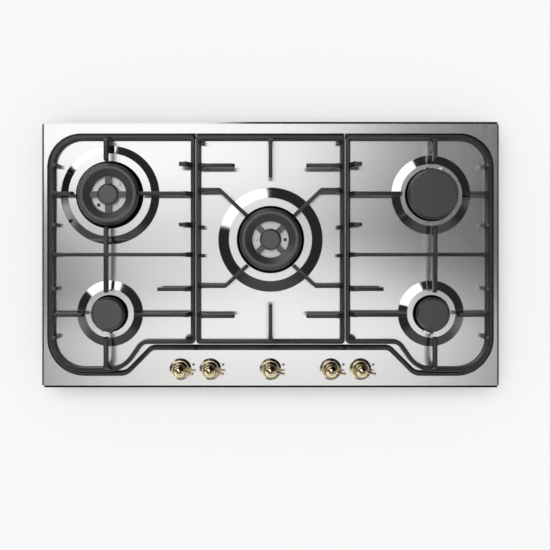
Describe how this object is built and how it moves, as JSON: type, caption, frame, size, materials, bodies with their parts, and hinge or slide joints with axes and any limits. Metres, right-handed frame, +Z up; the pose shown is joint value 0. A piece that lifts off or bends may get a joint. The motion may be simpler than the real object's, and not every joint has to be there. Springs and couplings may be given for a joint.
{
  "type": "gas cooktop",
  "caption": "Built-in gas cooktop with a pressed steel deck, ring and plain burners, cast iron pan supports and brass lever knobs.",
  "frame": {"origin": "middle of the burner box's underside", "axes": "+X to the right and +Y to the back as seen by the cook, +Z up; the worktop's top face lies at z = 52 mm"},
  "size_m": [0.86, 0.5, 0.102],
  "materials": {
    "deck_steel": "brushed stainless sheet, burner collars polished",
    "seal_foam": "closed-cell foam strip",
    "box_steel": "galvanised sheet",
    "cast_aluminium": "die-cast, matt",
    "cap_enamel": "matt black vitreous enamel",
    "machined_brass": "machined",
    "polished_brass": "turned and polished",
    "plated_steel": "zinc plated",
    "tap_aluminium": "hot stamped",
    "tube_aluminium": "drawn tube",
    "electrode_ceramic": "glazed white",
    "black_plastic": "moulded",
    "support_iron": "cast, matt black enamel",
    "foot_rubber": "moulded silicone rubber"
  },
  "bodies": {
    "root": {"hob_deck": "deck_steel", "worktop_seal": "seal_foam", "burner_box": "box_steel", "burner_cup_rear_left": "cast_aluminium", "burner_cup_centre": "cast_aluminium", "burner_cup_rear_right": "cast_aluminium", "burner_cup_front_left": "cast_aluminium", "burner_cup_front_right": "cast_aluminium", "gas_jets": "machined_brass", "gas_inlet": "machined_brass", "knob_bezels": "polished_brass", "box_screws": "plated_steel", "worktop_clamps": "plated_steel", "flame_probes": "plated_steel", "tap_body_1": "tap_aluminium", "tap_body_2": "tap_aluminium", "tap_body_3": "tap_aluminium", "tap_body_4": "tap_aluminium", "tap_body_5": "tap_aluminium", "gas_manifold": "tube_aluminium", "gas_tubes": "tube_aluminium", "spark_electrodes": "electrode_ceramic", "ignition_module": "black_plastic", "terminal_block": "black_plastic", "ignition_switches": "black_plastic"},
    "pan_support_left": {"pan_support_left": "support_iron", "feet_left_support": "foot_rubber"},
    "pan_support_centre": {"pan_support_centre": "support_iron", "feet_centre_support": "foot_rubber"},
    "pan_support_right": {"pan_support_right": "support_iron", "feet_right_support": "foot_rubber"},
    "spreader_rear_left": {"spreader_rear_left": "cast_aluminium"},
    "ring_cap_rear_left": {"ring_cap_rear_left": "cap_enamel"},
    "centre_cap_rear_left": {"centre_cap_rear_left": "cap_enamel"},
    "spreader_centre": {"spreader_centre": "cast_aluminium"},
    "ring_cap_centre": {"ring_cap_centre": "cap_enamel"},
    "centre_cap_centre": {"centre_cap_centre": "cap_enamel"},
    "spreader_rear_right": {"spreader_rear_right": "cast_aluminium"},
    "cap_rear_right": {"cap_rear_right": "cap_enamel"},
    "spreader_front_left": {"spreader_front_left": "cast_aluminium"},
    "cap_front_left": {"cap_front_left": "cap_enamel"},
    "spreader_front_right": {"spreader_front_right": "cast_aluminium"},
    "cap_front_right": {"cap_front_right": "cap_enamel"},
    "tap_plug_1": {"tap_plug_1": "machined_brass"},
    "knob_1": {"knob_1": "polished_brass", "tap_spindle_1": "plated_steel"},
    "tap_plug_2": {"tap_plug_2": "machined_brass"},
    "knob_2": {"knob_2": "polished_brass", "tap_spindle_2": "plated_steel"},
    "tap_plug_3": {"tap_plug_3": "machined_brass"},
    "knob_3": {"knob_3": "polished_brass", "tap_spindle_3": "plated_steel"},
    "tap_plug_4": {"tap_plug_4": "machined_brass"},
    "knob_4": {"knob_4": "polished_brass", "tap_spindle_4": "plated_steel"},
    "tap_plug_5": {"tap_plug_5": "machined_brass"},
    "knob_5": {"knob_5": "polished_brass", "tap_spindle_5": "plated_steel"}
  },
  "joints": [
    {"name": "lift_pan_support_left", "type": "slide", "parent": "root", "child": "pan_support_left", "axis": [0, 0, 1], "range_m": [0, 0.07]},
    {"name": "lift_pan_support_centre", "type": "slide", "parent": "root", "child": "pan_support_centre", "axis": [0, 0, 1], "range_m": [0, 0.07]},
    {"name": "lift_pan_support_right", "type": "slide", "parent": "root", "child": "pan_support_right", "axis": [0, 0, 1], "range_m": [0, 0.07]},
    {"name": "lift_spreader_rear_left", "type": "slide", "parent": "root", "child": "spreader_rear_left", "axis": [0, 0, 1], "range_m": [0, 0.06]},
    {"name": "lift_ring_cap_rear_left", "type": "slide", "parent": "spreader_rear_left", "child": "ring_cap_rear_left", "axis": [0, 0, 1], "range_m": [0, 0.03]},
    {"name": "lift_centre_cap_rear_left", "type": "slide", "parent": "spreader_rear_left", "child": "centre_cap_rear_left", "axis": [0, 0, 1], "range_m": [0, 0.03]},
    {"name": "lift_spreader_centre", "type": "slide", "parent": "root", "child": "spreader_centre", "axis": [0, 0, 1], "range_m": [0, 0.06]},
    {"name": "lift_ring_cap_centre", "type": "slide", "parent": "spreader_centre", "child": "ring_cap_centre", "axis": [0, 0, 1], "range_m": [0, 0.03]},
    {"name": "lift_centre_cap_centre", "type": "slide", "parent": "spreader_centre", "child": "centre_cap_centre", "axis": [0, 0, 1], "range_m": [0, 0.03]},
    {"name": "lift_spreader_rear_right", "type": "slide", "parent": "root", "child": "spreader_rear_right", "axis": [0, 0, 1], "range_m": [0, 0.06]},
    {"name": "lift_cap_rear_right", "type": "slide", "parent": "spreader_rear_right", "child": "cap_rear_right", "axis": [0, 0, 1], "range_m": [0, 0.03]},
    {"name": "lift_spreader_front_left", "type": "slide", "parent": "root", "child": "spreader_front_left", "axis": [0, 0, 1], "range_m": [0, 0.06]},
    {"name": "lift_cap_front_left", "type": "slide", "parent": "spreader_front_left", "child": "cap_front_left", "axis": [0, 0, 1], "range_m": [0, 0.03]},
    {"name": "lift_spreader_front_right", "type": "slide", "parent": "root", "child": "spreader_front_right", "axis": [0, 0, 1], "range_m": [0, 0.06]},
    {"name": "lift_cap_front_right", "type": "slide", "parent": "spreader_front_right", "child": "cap_front_right", "axis": [0, 0, 1], "range_m": [0, 0.03]},
    {"name": "turn_knob_1", "type": "hinge", "parent": "root", "child": "tap_plug_1", "pos_m": [-0.169, -0.215, 0.062], "axis": [0, 0, 1], "range_deg": [0, 210]},
    {"name": "push_knob_1", "type": "slide", "parent": "tap_plug_1", "child": "knob_1", "axis": [0, 0, -1], "range_m": [0, 0.004], "stiffness_N_per_m": 600, "springref_m": -0.003},
    {"name": "turn_knob_2", "type": "hinge", "parent": "root", "child": "tap_plug_2", "pos_m": [-0.113, -0.215, 0.062], "axis": [0, 0, 1], "range_deg": [0, 210]},
    {"name": "push_knob_2", "type": "slide", "parent": "tap_plug_2", "child": "knob_2", "axis": [0, 0, -1], "range_m": [0, 0.004], "stiffness_N_per_m": 600, "springref_m": -0.003},
    {"name": "turn_knob_3", "type": "hinge", "parent": "root", "child": "tap_plug_3", "pos_m": [0, -0.215, 0.062], "axis": [0, 0, 1], "range_deg": [0, 210]},
    {"name": "push_knob_3", "type": "slide", "parent": "tap_plug_3", "child": "knob_3", "axis": [0, 0, -1], "range_m": [0, 0.004], "stiffness_N_per_m": 600, "springref_m": -0.003},
    {"name": "turn_knob_4", "type": "hinge", "parent": "root", "child": "tap_plug_4", "pos_m": [0.113, -0.215, 0.062], "axis": [0, 0, 1], "range_deg": [0, 210]},
    {"name": "push_knob_4", "type": "slide", "parent": "tap_plug_4", "child": "knob_4", "axis": [0, 0, -1], "range_m": [0, 0.004], "stiffness_N_per_m": 600, "springref_m": -0.003},
    {"name": "turn_knob_5", "type": "hinge", "parent": "root", "child": "tap_plug_5", "pos_m": [0.169, -0.215, 0.062], "axis": [0, 0, 1], "range_deg": [0, 210]},
    {"name": "push_knob_5", "type": "slide", "parent": "tap_plug_5", "child": "knob_5", "axis": [0, 0, -1], "range_m": [0, 0.004], "stiffness_N_per_m": 600, "springref_m": -0.003}
  ]
}
